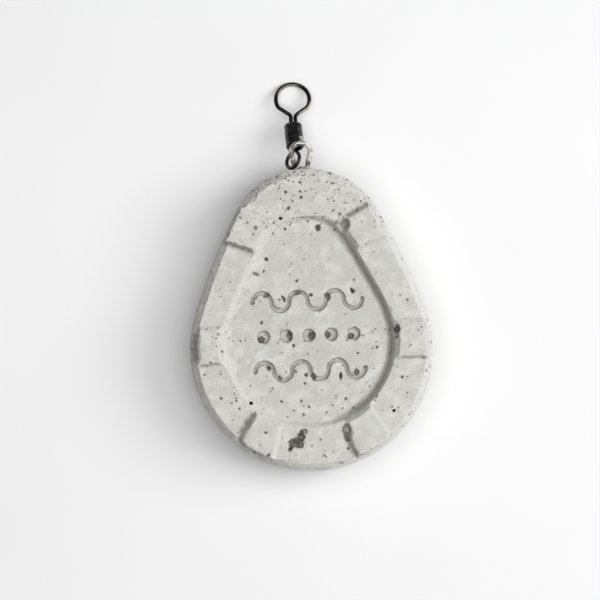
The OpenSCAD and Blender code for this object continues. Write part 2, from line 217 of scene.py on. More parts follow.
class Finish:
    """Builds one node material, with short words for the nodes it uses."""

    def __init__(self, name):
        self.material = bpy.data.materials.new(name)
        self.material.use_nodes = True
        self.tree = self.material.node_tree
        self.shader = self.tree.nodes["Principled BSDF"]
        coordinates = self.tree.nodes.new("ShaderNodeTexCoord")
        self.place = coordinates.outputs["Object"]

    def link(self, source, target):
        self.tree.links.new(source, target)

    def node(self, kind, **settings):
        made = self.tree.nodes.new(kind)
        for key, value in settings.items():
            setattr(made, key, value)
        return made

    def fill(self, socket, value):
        if isinstance(value, bpy.types.NodeSocket):
            self.link(value, socket)
        else:
            socket.default_value = value

    def math(self, operation, *values):
        made = self.node("ShaderNodeMath", operation=operation)
        for socket, value in zip(made.inputs, values):
            self.fill(socket, value)
        return made.outputs[0]

    def times(self, a, b):
        return self.math("MULTIPLY", a, b)

    def rest(self, share):
        """What a share leaves over."""
        return self.math("SUBTRACT", 1.0, share)

    def split(self, vector):
        """The X, Y and Z of a vector."""
        made = self.node("ShaderNodeSeparateXYZ")
        self.link(vector, made.inputs[0])
        return made.outputs

    def turned(self, angle):
        """Places turned about X, Y and Z by angles in degrees."""
        made = self.node("ShaderNodeMapping")
        self.link(self.place, made.inputs["Vector"])
        made.inputs["Rotation"].default_value = [math.radians(a) for a in angle]
        return made.outputs["Vector"]

    def grain(self, size, detail=3.0, roughness=0.5, vector=None):
        """Noise with lumps of one size."""
        made = self.node("ShaderNodeTexNoise")
        self.link(vector or self.place, made.inputs["Vector"])
        made.inputs["Scale"].default_value = 1.0 / (size * MM)
        made.inputs["Detail"].default_value = detail
        made.inputs["Roughness"].default_value = roughness
        return made.outputs["Fac"]

    def spots(self, spacing, share, largest, ragged=0.0):
        """Scattered spots of random size: 1 in a spot. Share is how many places have one."""
        made = self.node("ShaderNodeTexVoronoi")
        place = self.shaken(spacing * 0.3, ragged) if ragged else self.place
        self.link(place, made.inputs["Vector"])
        made.inputs["Scale"].default_value = 1.0 / (spacing * MM)
        chance = self.split(made.outputs["Color"])
        there = self.math("LESS_THAN", chance["X"], share)
        size = self.math("MULTIPLY_ADD", chance["Y"], largest * 0.7, largest * 0.3)
        inside = self.math("SUBTRACT", size, made.outputs["Distance"])
        return self.times(self.band(inside, -0.015, 0.03), there)

    def lines(self, pitch, angle, distortion):
        """Straight raised lines: 0 in the gaps and 1 on the crests."""
        made = self.node("ShaderNodeTexWave", wave_type="BANDS", bands_direction="X")
        self.link(self.turned(angle), made.inputs["Vector"])
        made.inputs["Scale"].default_value = 2 * math.pi / (20 * pitch * MM)
        made.inputs["Distortion"].default_value = distortion
        made.inputs["Detail"].default_value = 2.0
        made.inputs["Detail Scale"].default_value = 0.6
        return made.outputs["Fac"]

    def band(self, value, low, high, to_low=0.0, to_high=1.0):
        """Turns a value's range into another one, with soft ends."""
        made = self.node("ShaderNodeMapRange", interpolation_type="SMOOTHSTEP")
        self.fill(made.inputs["Value"], value)
        made.inputs["From Min"].default_value = low
        made.inputs["From Max"].default_value = high
        made.inputs["To Min"].default_value = to_low
        made.inputs["To Max"].default_value = to_high
        return made.outputs["Result"]

    def mix(self, share, a, b):
        """Colour a where the share is 0 and colour b where it is 1."""
        made = self.node("ShaderNodeMix", data_type="RGBA")
        self.fill(made.inputs["Factor"], share)
        self.fill(made.inputs["A"], (*a, 1.0) if isinstance(a, tuple) else a)
        self.fill(made.inputs["B"], (*b, 1.0) if isinstance(b, tuple) else b)
        return made.outputs["Result"]

    def over(self, base, share, strength, colour):
        """Lays a colour over the base where the share is 1, as strongly as said."""
        return self.mix(self.times(share, strength), base, colour)

    def attribute(self, name, output="Fac"):
        return self.node("ShaderNodeAttribute", attribute_name=name).outputs[output]

    def shaken(self, size, amount):
        """Places pushed about by noise, so that round spots come out ragged."""
        push = self.node("ShaderNodeTexNoise")
        self.link(self.place, push.inputs["Vector"])
        push.inputs["Scale"].default_value = 1.0 / (size * MM)
        made = self.node("ShaderNodeVectorMath", operation="MULTIPLY_ADD")
        self.link(push.outputs["Color"], made.inputs[0])
        made.inputs[1].default_value = [amount * MM] * 3
        self.link(self.place, made.inputs[2])
        return made.outputs["Vector"]

    def bump(self, height, depth, below=None):
        """Bump of a depth in millimetres, on top of another one."""
        made = self.node("ShaderNodeBump")
        made.inputs["Distance"].default_value = depth * MM
        made.inputs["Strength"].default_value = 1.0
        self.fill(made.inputs["Height"], height)
        if below is not None:
            self.link(below, made.inputs["Normal"])
        return made.outputs["Normal"]

    def finish(self, colour, roughness, relief, shine, metallic=0.0):
        self.fill(self.shader.inputs["Base Color"], colour)
        self.fill(self.shader.inputs["Roughness"], roughness)
        self.fill(self.shader.inputs["Metallic"], metallic)
        self.shader.inputs["Specular IOR Level"].default_value = shine
        self.link(relief, self.shader.inputs["Normal"])
        return self.material


# Colours of the concrete
PALE = (0.865, 0.861, 0.815)
PALER = (0.895, 0.891, 0.845)
SAND = (0.33, 0.32, 0.285)
LIGHT_SPECK = (0.985, 0.98, 0.935)
LINE_GAP = (0.40, 0.39, 0.355)
LAYER_GAP = (0.28, 0.27, 0.235)
# Painted shade for walls facing away from the window
WALL_SHADE = (0.33, 0.315, 0.28)
# Painted light for walls facing the window
WALL_LIGHT = (0.97, 0.965, 0.93)
MARK_SHADE = (0.30, 0.28, 0.235)
WORN_EDGE = (0.92, 0.91, 0.87)
CREASE_SHADE = (0.21, 0.185, 0.15)
PORE = (0.15, 0.13, 0.105)
DARK_GRAIN = (0.07, 0.09, 0.12)
HOLLOW_SHADE = (0.125, 0.11, 0.085)

# Colours of the metals
EYE_BLACK = (0.004, 0.004, 0.0045)
EYE_GREY = (0.010, 0.0095, 0.0095)
FAINT_RUB = (0.13, 0.105, 0.085)
WARM_HIGHLIGHT = (0.50, 0.42, 0.35)
BARREL_BLACK = (0.0045, 0.0045, 0.005)
BARREL_GREY = (0.010, 0.010, 0.010)
NICK = (0.42, 0.40, 0.37)
CHIP = (0.62, 0.60, 0.57)
BARREL_RUB = (0.10, 0.095, 0.09)
DARK_STREAK = (0.10, 0.095, 0.085)
BRIGHT_STEEL = (0.68, 0.665, 0.63)
CEMENT_SPECK = (0.20, 0.19, 0.17)
CEMENT = (0.76, 0.75, 0.71)

# Distance between the mould's lines, on flat faces and up the walls
LINE_PITCH = 0.47
LAYER_PITCH = 0.42


def concrete():
    """Pale cast concrete with the mould's lines, worn edges and pores, with painted shade in
    hollows, creases and on walls facing away from the window, and painted light on walls facing
    it.
    """
    f = Finish("concrete")
    place = f.split(f.place)
    facing = f.split(f.node("ShaderNodeNewGeometry").outputs["Normal"])
    height = place["Z"]
    flat = f.band(f.math("ABSOLUTE", facing["Z"]), 0.80, 0.93)
    steep = f.rest(flat)
    # Share of walls facing away from the window, which get painted shade
    shaded = f.band(facing["X"], -0.45, 0.05, 1.0, 0.25)
    in_mark = f.band(height, (PANEL_FLOOR - 0.45) * MM, (PANEL_FLOOR - 0.65) * MM)

    # Flat faces carry slanting lines, the other way round on pads and in the marks
    on_pad = f.band(height, (RIM_Z + 0.35) * MM, (RIM_Z + 0.60) * MM)
    crossed = f.node("ShaderNodeMix", data_type="FLOAT")
    f.link(f.math("MAXIMUM", on_pad, in_mark), crossed.inputs["Factor"])
    f.link(f.lines(LINE_PITCH, (0, 0, 45), 1.6), crossed.inputs["A"])
    f.link(f.lines(LINE_PITCH, (0, 0, -45), 1.6), crossed.inputs["B"])
    slanting = crossed.outputs["Result"]
    fade = f.band(f.grain(2.4), 0.36, 0.54, 0.45, 1.0)
    raster = f.times(f.times(slanting, flat), fade)
    gaps = f.times(f.times(f.band(slanting, 0.55, 0.05), flat), fade)
    gap_share = f.band(height, (PANEL_FLOOR + 0.4) * MM, (RIM_Z - 0.2) * MM, 0.64, 0.50)
    # Sloped and upright walls carry level lines
    layers = f.times(f.lines(LAYER_PITCH, (0, 90, 0), 1.4), steep)
    layer_gaps = f.times(f.rest(layers), steep)
    layer_gaps = f.times(layer_gaps, f.band(f.grain(1.5), 0.38, 0.62, 0.20, 0.72))

    cloudy = f.band(f.grain(7.0, detail=4.0, roughness=0.65), 0.32, 0.68)
    sandy = f.grain(0.50, detail=5.0, roughness=0.80)
    specks = f.band(f.grain(0.28, detail=2.0, roughness=0.6), 0.54, 0.66)
    base = f.mix(cloudy, PALE, PALER)
    sand_shadow = f.mix(0.44, base, SAND)
    base = f.mix(f.band(sandy, 0.34, 0.60), sand_shadow, base)
    base = f.over(base, specks, 0.60, LIGHT_SPECK)
    base = f.over(base, gaps, gap_share, LINE_GAP)
    # Layer gaps, much darker on walls facing away from the window as painted shade, then a sheet
    # of painted shade on those walls
    base = f.over(base, layer_gaps, shaded, LAYER_GAP)
    base = f.over(base, f.times(steep, shaded), 0.36, WALL_SHADE)
    # Painted light on walls facing the window, weaker on the pads
    lit_wall = f.times(steep, f.band(facing["X"], 0.05, 0.7, 0.0, 0.22))
    below_pads = f.band(height, (RIM_Z + 0.35) * MM, (RIM_Z + 0.05) * MM, 0.25, 1.0)
    base = f.over(base, lit_wall, below_pads, WALL_LIGHT)
    base = f.over(base, in_mark, 0.34, MARK_SHADE)
    base = f.over(base, f.attribute("worn"), 0.55, WORN_EDGE)
    # Painted shade in concave creases, along the torn lines and in the groove at the wall's foot
    base = f.over(base, f.attribute("crease"), 0.75, CREASE_SHADE)
    # Fine dark pores, more of them towards the loop, and a few blue-black grains
    pore_share = f.band(place["Y"], 26 * MM, 37 * MM, 0.10, 0.70)
    pores = f.spots(0.75, pore_share, largest=0.34, ragged=0.40)
    base = f.over(base, pores, 0.85, PORE)
    dark_grains = f.spots(2.6, share=0.35, largest=0.11)
    base = f.over(base, dark_grains, 0.75, DARK_GRAIN)
    # Painted shade in pits, pores and broken-out places, and on the lump under the loop
    base = f.mix(f.attribute("hollow"), base, HOLLOW_SHADE)

    relief = f.bump(raster, 0.11)
    relief = f.bump(layers, 0.07, relief)
    relief = f.bump(sandy, 0.32, relief)
    relief = f.bump(pores, -0.15, relief)
    roughness = f.band(sandy, 0.3, 0.7, 0.82, 0.97)
    return f.finish(base, roughness, relief, shine=0.25)


def dark_plating():
    """Near-black plating on the eyes' wire, with faint rubs and painted warm highlights in places.
    """
    f = Finish("dark_plating")
    along_wire = f.attribute("grain", "Vector")
    streaks = f.grain(0.22, detail=4.0, roughness=0.7, vector=along_wire)
    cloudy = f.grain(1.6, detail=3.0, roughness=0.6)
    base = f.mix(f.band(cloudy, 0.35, 0.65), EYE_BLACK, EYE_GREY)
    faint_rub = f.times(f.band(streaks, 0.60, 0.68), f.band(cloudy, 0.48, 0.58))
    base = f.over(base, faint_rub, 0.5, FAINT_RUB)
    # Painted warm highlights on the eyes
    base = f.over(base, f.attribute("wear_and_highlight"), f.band(streaks, 0.34, 0.56), WARM_HIGHLIGHT)
    roughness = f.band(streaks, 0.3, 0.7, 0.10, 0.24)
    relief = f.bump(streaks, 0.035)
    relief = f.bump(cloudy, 0.05, relief)
    return f.finish(base, roughness, relief, shine=0.36)


def barrel_plating():
    """Near-black plating on the barrel, nicked and chipped to bright metal."""
    f = Finish("barrel_plating")
    cloudy = f.grain(1.8, detail=3.0, roughness=0.6)
    nicks = f.grain(0.5, detail=3.0, roughness=0.8)
    rub = f.band(f.grain(1.1, detail=4.0, roughness=0.75), 0.60, 0.70)
    base = f.mix(f.band(cloudy, 0.35, 0.65), BARREL_BLACK, BARREL_GREY)
    base = f.over(base, f.band(nicks, 0.65, 0.68), 0.8, NICK)
    base = f.over(base, f.attribute("wear_and_highlight"), f.band(nicks, 0.47, 0.55), CHIP)
    base = f.over(base, rub, 0.3, BARREL_RUB)
    roughness = f.band(cloudy, 0.3, 0.7, 0.16, 0.32)
    relief = f.bump(nicks, 0.06)
    relief = f.bump(cloudy, 0.08, relief)
    return f.finish(base, roughness, relief, shine=0.40)


def loop_steel():
    """Drawn steel wire with a film of cement on part of it."""
    f = Finish("loop_steel")
    cement = f.attribute("cement")
    along_wire = f.attribute("grain", "Vector")
    streaks = f.grain(0.26, detail=4.0, roughness=0.7, vector=along_wire)
    steel = f.mix(f.band(streaks, 0.40, 0.58), DARK_STREAK, BRIGHT_STEEL)
    speckled = f.band(f.grain(0.35, detail=3.0, roughness=0.8), 0.38, 0.50)
    film = f.mix(speckled, CEMENT_SPECK, CEMENT)
    base = f.mix(cement, steel, film)
    bare_roughness = f.band(streaks, 0.3, 0.7, 0.22, 0.36)
    roughness = f.math("ADD", f.times(cement, 0.5), bare_roughness)
    metallic = f.times(f.rest(cement), 0.8)
    relief = f.bump(streaks, 0.08)
    relief = f.bump(f.times(f.grain(0.4), cement), 0.15, relief)
    return f.finish(base, roughness, relief, shine=0.5, metallic=metallic)


def pale_table():
    f = Finish("pale_table")
    cloudy = f.band(f.grain(60.0, detail=2.0), 0.3, 0.7)
    white, whiter = (0.880, 0.880, 0.882), (0.900, 0.900, 0.902)
    base = f.mix(cloudy, white, whiter)
    relief = f.bump(f.grain(2.0), 0.001)
    return f.finish(base, roughness=0.9, relief=relief, shine=0.1)


# The casting

# Round pits in the front: [x, y, radius, depth, darkness]
PITS = [
    [-6.0, 30.4, 0.55, 0.6, 0.7], [-4.1, 32.7, 0.38, 0.6, 0.9], [7.5, 30.8, 0.38, 0.5, 0.6],
    [-9.6, 21.2, 0.34, 0.8, 1.2], [18.2, -14.8, 0.33, 0.9, 1.3],
    [10.6, -24.8, 0.42, 0.9, 1.3], [7.3, -11.6, 0.33, 0.5, 0.8],
    [-2.6, -14.8, 0.27, 0.5, 0.9], [9.0, -13.8, 0.24, 0.4, 0.8], [-3.0, -11.7, 0.25, 0.5, 0.9],
    [13.0, -9.0, 0.24, 0.4, 0.8], [21.9, -16.0, 0.3, 0.4, 0.7], [26.6, 4.7, 0.5, 0.5, 0.6],
    [26.2, -6.0, 0.36, 0.5, 0.6], [-11.9, 28.5, 0.42, 0.5, 0.7], [-9.4, 28.4, 0.32, 0.5, 0.6],
    [-13.7, 29.7, 0.28, 0.4, 0.5], [-12.5, 27.0, 0.25, 0.4, 0.6], [22.3, 10.5, 0.26, 0.4, 0.8],
    [-14.5, -11.7, 0.42, 0.6, 1.1], [-17.3, -12.9, 0.3, 0.4, 0.7], [-17.9, -11.1, 0.26, 0.4, 0.8],
    [-14.3, -23.2, 0.4, 0.6, 1.1], [-26.2, 5.8, 0.5, 0.6, 1.0], [-21.2, 4.4, 0.4, 0.5, 0.7],
    [-24.1, 5.9, 0.28, 0.4, 0.8], [-2.4, -12.9, 0.2, 0.3, 0.8], [7.4, -23.0, 0.3, 0.5, 1.1],
]

# Broken-out places: lobes [x, y, half width, half height, turn] that run together, then
# the floor's height, the darkness, how ragged the edge is, and how far out from the middle
# the floor stays level, as a share
BREAKS = [
    ([[8.6, 28.4, 1.55, 1.85, -15]], 13.2, 0.40, 0.10, 0.25),
    ([[19.8, 4.2, 0.60, 1.0, -8], [19.7, 3.0, 0.42, 1.5, -6]], 13.7, 0.50, 0.25, 0.75),
    ([[7.1, -18.7, 1.25, 1.5, 5], [7.1, -20.2, 0.7, 1.5, 14]], 13.2, 0.38, 0.15, 0.45),
    ([[2.5, 27.9, 0.68, 0.95, 10]], 12.0, 0.42, 0.10, 0.45),
    ([[-4.2, -21.3, 1.4, 1.3, 35], [-3.3, -20.0, 0.95, 1.2, 20], [-5.4, -20.8, 1.2, 0.5, 15],
      [-5.7, -22.3, 1.2, 0.42, 50], [-3.5, -22.0, 0.6, 0.6, 0]], 13.0, 0.74, 0.28, 0.70),
    ([[-2.7, -18.8, 0.95, 0.8, 30]], 13.9, 0.10, 0.25, 0.6),
    ([[-12.2, 17.9, 1.0, 0.32, -25]], 13.0, 0.5, 0.45, 0.75),
    ([[2.0, -24.6, 0.7, 0.22, -40]], 14.6, 0.6, 0.35, 0.75),
    ([[5.6, -26.3, 0.5, 0.22, 15]], 14.2, 0.6, 0.35, 0.75),
    ([[-27.1, 10.4, 0.5, 1.3, -12]], 14.2, 0.1, 0.35, 0.75),
    ([[-25.7, 13.1, 0.4, 0.9, -14]], 14.3, 0.1, 0.35, 0.75),
    ([[-10.7, -25.5, 1.3, 0.5, 20]], 14.3, 0.2, 0.35, 0.75),
    ([[0.8, -27.4, 2.4, 0.5, 4]], 14.3, 0.15, 0.35, 0.75),
    ([[-11.1, -23.8, 0.4, 0.3, 20]], 14.4, 0.6, 0.35, 0.75),
]

# Torn lines along the pads' sides: [x, y, x, y, half width, depth, darkness]
TORN_LINES = [
    [-19.5, 25.4, -12.5, 22.8, 0.62, 0.50, 0.80], [9.0, 30.4, 14.2, 33.2, 0.75, 0.45, 0.55],
    [-14.2, -14.1, -17.7, -19.0, 0.70, 0.55, 0.80], [-17.7, -19.1, -16.6, -21.5, 0.60, 0.45, 0.70],
    [6.7, -18.5, 7.5, -21.9, 0.70, 0.55, 0.75], [7.5, -21.9, 9.5, -25.4, 0.62, 0.50, 0.85],
    [20.3, -2.6, 26.6, -3.1, 0.34, 0.25, 0.55], [-26.1, -2.9, -21.3, -2.4, 0.34, 0.25, 0.60],
    [-26.8, 4.9, -26.9, -1.8, 0.95, 0.10, 0.90],
    [-2.4, 30.4, 3.1, 30.4, 0.28, 0.10, 0.60], [2.9, 30.5, 8.1, 28.4, 0.34, 0.12, 0.70],
]

# Pulled pad edges: two ends of a line, how wide the pull is, the shift, and the heights
# between which it sets in
PULLS = [
    ((-14.4, 33.4), (-17.5, 26.2), 1.8, (-0.60, 0.25), 14.3, 15.5),
    ((8.3, -21.2), (8.7, -23.1), 1.3, (-0.85, -0.10), 14.4, 15.0),
    ((-26.2, 4.0), (-26.4, -1.1), 1.5, (0.50, 0.00), 14.3, 15.5),
]

# Air holes of the part's solid that are filled up, to be broken out again as wider bowls:
# [x, y, radius, bottom, top]
FILLED_HOLES = [
    [10.45, 29.11, 1.0, RIM_Z - 2.0, RIM_Z + 1.0],
    [6.89, -18.60, 1.1, RIM_Z - 2.0, RIM_Z],
]

SKIN_STEP = 0.165           # size of the even skin's faces
MOST_TRIANGLES = 194000
PORE_TRIES = 14000
TABLE_GAP = 0.015           # keeps the back's face apart from the table's


def nearby(order, sorted_x, place, reach):
    """The numbers of the points whose x lies within a reach of a place."""
    low, high = np.searchsorted(sorted_x, [place[0] - reach, place[0] + reach])
    return order[low:high]


def carve(points, normals, near, place, radius, depth, hollow, dark, ragged):
    """Presses an uneven pit into the surface round a place, and paints shade into it that is
    darkest where it is deepest.
    """
    search, bowl = 1.6, 0.4
    gap = np.linalg.norm(points[near] - place, axis=1) / radius
    near, gap = near[gap < search], gap[gap < search]
    gap = gap * (1.0 + ragged * rough(points[near], radius * 0.9, place[0]))
    near, gap = near[gap < 1.0], gap[gap < 1.0]
    push = (1.0 - gap ** 2) ** bowl
    points[near] -= normals[near] * (push * depth)[:, None]
    hollow[near] = np.maximum(hollow[near], push * dark)


def break_out(points, hollow, lobes, floor, dark, ragged, level, seed):
    """Breaks a ragged place out of the front, down to a rough floor."""
    search, lowest = 5.0, 11.5
    floor_lumps, patches = 0.14, 0.9
    widest = 1.7            # how far past a lobe its ragged edge may reach, in lobes
    x, y = lobes[0][0], lobes[0][1]
    near = np.nonzero((abs(points[:, 0] - x) < search) & (abs(points[:, 1] - y) < search)
                      & (points[:, 2] > lowest))[0]
    far = np.full(len(near), np.inf)
    for x, y, half_w, half_h, turn in lobes:
        dx, dy = points[near, 0] - x, points[near, 1] - y
        c, s = turned_by(turn)
        far = np.minimum(far, np.hypot((dx * c + dy * s) / half_w, (-dx * s + dy * c) / half_h))
    near, far = near[far < widest], far[far < widest]
    if len(near) == 0:
        return
    flat = points[near] * (1, 1, 0)
    far = far * (1.0 + ragged * (rough(flat, 0.5, seed) + 0.6 * rough(flat, 0.25, seed + 1)))
    side = smooth_step(level, 1.0, far)
    crumbs = floor_lumps * rough(points[near], 0.35, seed + 2)
    top = points[near, 2]
    points[near, 2] = np.minimum(top, floor + crumbs + (top - floor) * side)
    # Painted shade on the broken-out floor, in patches
    patchy = 1.0 + patches * rough(points[near], 0.7, seed + 3)
    hollow[near] = np.maximum(hollow[near], dark * patchy * (1.0 - side))


def tear_line(points, crease, ax, ay, bx, by, half, depth, dark, seed):
    """Tears a rough groove of uneven width along a line, with painted shade of uneven darkness in
    it.
    """
    margin, lowest = 2.0, 13.0
    wander, narrowing, lumps, patches = 0.30, 0.55, 0.35, 0.7
    near = np.nonzero((points[:, 2] > lowest)
                      & (abs(points[:, 0] - (ax + bx) / 2) < abs(bx - ax) / 2 + margin)
                      & (abs(points[:, 1] - (ay + by) / 2) < abs(by - ay) / 2 + margin))[0]
    length = math.hypot(bx - ax, by - ay)
    ux, uy = (bx - ax) / length, (by - ay) / length
    dx, dy = points[near, 0] - ax, points[near, 1] - ay
    along = (dx * ux + dy * uy) / length
    across = (-dx * uy + dy * ux) / half
    flat = points[near] * (1, 1, 0)
    across = across + wander * rough(flat, 0.9, seed)
    across = across / (1.0 + narrowing * rough(flat, 1.5, seed + 2))
    ends = smooth_step(-0.10, 0.12, along) * smooth_step(1.10, 0.88, along)
    share = np.exp(-across ** 2) * ends
    points[near, 2] -= share * depth * (1.0 + lumps * rough(points[near], 0.4, seed + 1))
    painted_shade = dark * (1.0 + patches * rough(flat, 0.8, seed + 3))
    crease[near] = np.maximum(crease[near], share * painted_shade)


def breaks_at_marks():
    """Ragged places along the pressed waves and dimples, where the mould tore the edges."""
    rng = random.Random(77)
    made = []
    for row in (-1, 1):
        for k in range(WAVES):
            x = (2 * k + 1 - WAVES) * WAVE_R + MARKS_X + rng.uniform(-1.6, 1.6)
            y = MARKS_Y + row * ROW_GAP + rng.choice((-1, 1)) * rng.uniform(0.6, 1.9)
            lobe = [x, y, rng.uniform(0.4, 0.95), rng.uniform(0.3, 0.7), rng.uniform(0, 180)]
            made.append(([lobe], rng.uniform(11.9, 12.5), rng.uniform(0.4, 0.75), 0.45, 0.7))
    for k in range(DIMPLES):
        x = (k - DIMPLES // 2) * DIMPLE_PITCH + MARKS_X + rng.uniform(-0.9, 0.9)
        y = MARKS_Y + rng.uniform(-0.9, 0.9)
        lobe = [x, y, rng.uniform(0.8, 1.3), rng.uniform(0.6, 1.0), rng.uniform(0, 180)]
        made.append(([lobe], 11.5, rng.uniform(0.45, 0.65), 0.40, 0.6))
    return made


def fill_hole(mesh, x, y, radius, bottom, top):
    """Adds a plug that the even skin joins to the rest."""
    bm = bmesh.new()
    bm.from_mesh(mesh)
    centre = Vector((x, y, (bottom + top) / 2)) * MM
    bmesh.ops.create_cone(bm, cap_ends=True, segments=48, radius1=radius * MM,
                          radius2=radius * MM, depth=(top - bottom) * MM,
                          matrix=Matrix.Translation(centre))
    bm.to_mesh(mesh)
    bm.free()


def rim_distance(points):
    """How far inside the casting's outline each point lies, measured towards the middle."""
    dx, dy = points[:, 0], points[:, 1] - PANEL_MIDDLE_Y
    radius = np.hypot(dx, dy)
    angle = np.degrees(np.arctan2(dy, dx)) % 360
    widest = np.zeros(361)
    np.maximum.at(widest, angle.astype(int), radius)
    widest[360] = widest[0]
    return np.interp(angle, np.arange(361) + 0.5, widest, period=360) - radius


def pull(points, start, end, reach, shift, low, high):
    """Pulls the upper part of a pad's edge sideways, most of all along one line."""
    a, way = np.array(start), np.array(end) - np.array(start)
    along = np.clip(((points[:, :2] - a) @ way) / (way @ way), 0.0, 1.0)
    gap = np.linalg.norm(points[:, :2] - a - along[:, None] * way, axis=1)
    share = np.exp(-(gap / reach) ** 2) * smooth_step(low, high, points[:, 2])
    points[:, :2] += share[:, None] * np.array(shift)


def steepen_panel_wall(points, normals, inside):
    """Makes the wall steep on the side away from the window and rounded on the other.

    Returns the points along the wall's foot."""
    rim_w, margin, foot_height = 4.0, 0.02, 0.25
    rounding, steepness = 0.8, 0.9
    z = points[:, 2]
    wall = (inside > rim_w) & (z > PANEL_FLOOR + margin) & (z < RIM_Z - margin)
    foot = points[wall & (z < PANEL_FLOOR + foot_height) & (normals[:, 2] < 0.95)]
    shaded = smooth_step(0.05, -0.35, normals[:, 0])
    share = np.clip((z - PANEL_FLOOR) / PANEL_DEPTH, 0.0, 1.0)
    rounded = share + rounding * (1.0 - shaded) * (smooth_step(0.0, 1.0, share) - share)
    lowered = PANEL_FLOOR + PANEL_DEPTH * rounded ** (1.0 + steepness * shaded)
    points[wall, 2] = lowered[wall]
    return foot


def wear_wall_foot(points, foot, inside):
    """Wears a groove along the wall's foot on the right, and says how deep it is there."""
    width, depth, reach = 0.62, 0.42, 2.2
    starts_x, full_x = 3.0, 10.0
    rim_w, lowest, highest = 3.0, 13.0, RIM_Z - 0.3
    tree = kdtree.KDTree(len(foot))
    for i, place in enumerate(foot):
        tree.insert((place[0], place[1], 0.0), i)
    tree.balance()
    groove = np.zeros(len(points))
    z = points[:, 2]
    for i in np.nonzero((inside > rim_w) & (z > lowest) & (z < highest))[0]:
        place, _, gap = tree.find((points[i, 0], points[i, 1], 0.0))
        if gap < reach:
            side = min(1.0, max(0.0, (place.x - starts_x) / (full_x - starts_x)))
            groove[i] = side * math.exp(-(gap / width) ** 2)
    points[:, 2] -= depth * groove
    return groove


def even_skin():
    """The part's casting with an even skin that is fine enough to be worn and pitted."""
    piece = merged_copy("cast_body", "casting")
    for row in FILLED_HOLES:
        fill_hole(piece.data, *row)
    remesh = piece.modifiers.new("even skin", "REMESH")
    remesh.mode = "VOXEL"
    remesh.voxel_size = SKIN_STEP * MM
    apply_modifiers(piece)
    return piece


def edges_and_creases(piece, points, normals):
    """Shares of edge and of crease: how far each point stands out of a softened copy."""
    soft = piece.modifiers.new("soft copy", "SMOOTH")
    soft.factor = 0.5
    soft.iterations = 16
    softened = get_points(evaluated(piece).data)
    piece.modifiers.clear()
    stand = np.einsum("ij,ij->i", points - softened, normals)
    return smooth_step(0.02, 0.09, stand), smooth_step(-0.01, -0.08, stand)


def weather(points, normals, edge):
    """Makes the faces uneven and chips the edges, and returns where the noise chips."""
    wobble, crumbs, chip_depth, rounding = 0.06, 0.045, 0.34, 0.03
    torn = rough(points, 1.9, seed=3)
    lift = wobble * rough(points, 3.0, seed=1) + crumbs * rough(points, 0.8, seed=2)
    lift = lift - chip_depth * edge * smooth_step(0.12, 0.5, torn) - rounding * edge
    points += normals * lift[:, None]
    return torn


def press_pits(points, normals, hollow, order, sorted_x):
    """Presses the round pits into whatever face lies highest at their places."""
    column_r, search, widening, ragged = 0.3, 2.2, 1.2, 0.35
    for x, y, radius, depth, dark in PITS:
        column = np.hypot(points[:, 0] - x, points[:, 1] - y) < column_r
        z = points[column, 2].max() if column.any() else RIM_Z
        place = np.array([x, y, z])
        near = nearby(order, sorted_x, place, radius * search)
        carve(points, normals, near, place, radius * widening, depth, hollow, dark, ragged)


def press_pores(points, normals, hollow, order, sorted_x, inside):
    """Pores: many at the top, fewer further down, some on the walls and the back."""
    everywhere, at_top, on_wall = 0.022, 0.11, 0.16
    smallest, largest = 0.16, 0.38
    search, deepening, ragged = 2.0, 1.3, 0.6
    channel_y, channel_reach = 32.0, 9.0
    rng = random.Random(4146)
    skin = points.copy()
    for i in rng.sample(range(len(points)), min(PORE_TRIES, len(points))):
        x, y, z = skin[i]
        pick, size = rng.random(), rng.random()
        front = 1.0 if z > 5 else 0.4
        chance = everywhere + at_top * float(smooth_step(22.0, 38.0, y)) * front
        upper_left_wall = x < -3 and y > 26 and inside[i] < 2.6
        if upper_left_wall:
            chance += on_wall
        from_channel = math.hypot(x - LOOP_X, (y - channel_y) * 0.8)
        wire_channel = from_channel < channel_reach and 5 < z < 9
        if pick > chance or wire_channel or hollow[i] > 0.1:
            continue
        radius = smallest + (largest - smallest) * size ** 3
        depth, dark = radius * deepening, 0.5 + 0.6 * size
        near = nearby(order, sorted_x, skin[i], radius * search)
        carve(points, normals, near, skin[i], radius, depth, hollow, dark, ragged)


def shade_lump(points, hollow, torn):
    """Paints shade on the lump between the loop's legs, where the eye's shadow falls."""
    dark, half_w, sure_w = 0.42, 1.9, 1.2
    lump = smooth_step(CASTING_TOP - 0.2, CASTING_TOP + 0.4, points[:, 1])
    lump = lump * smooth_step(half_w, sure_w, abs(points[:, 0] - LOOP_X))
    return np.maximum(hollow, dark * lump * smooth_step(-0.6, 0.1, torn))


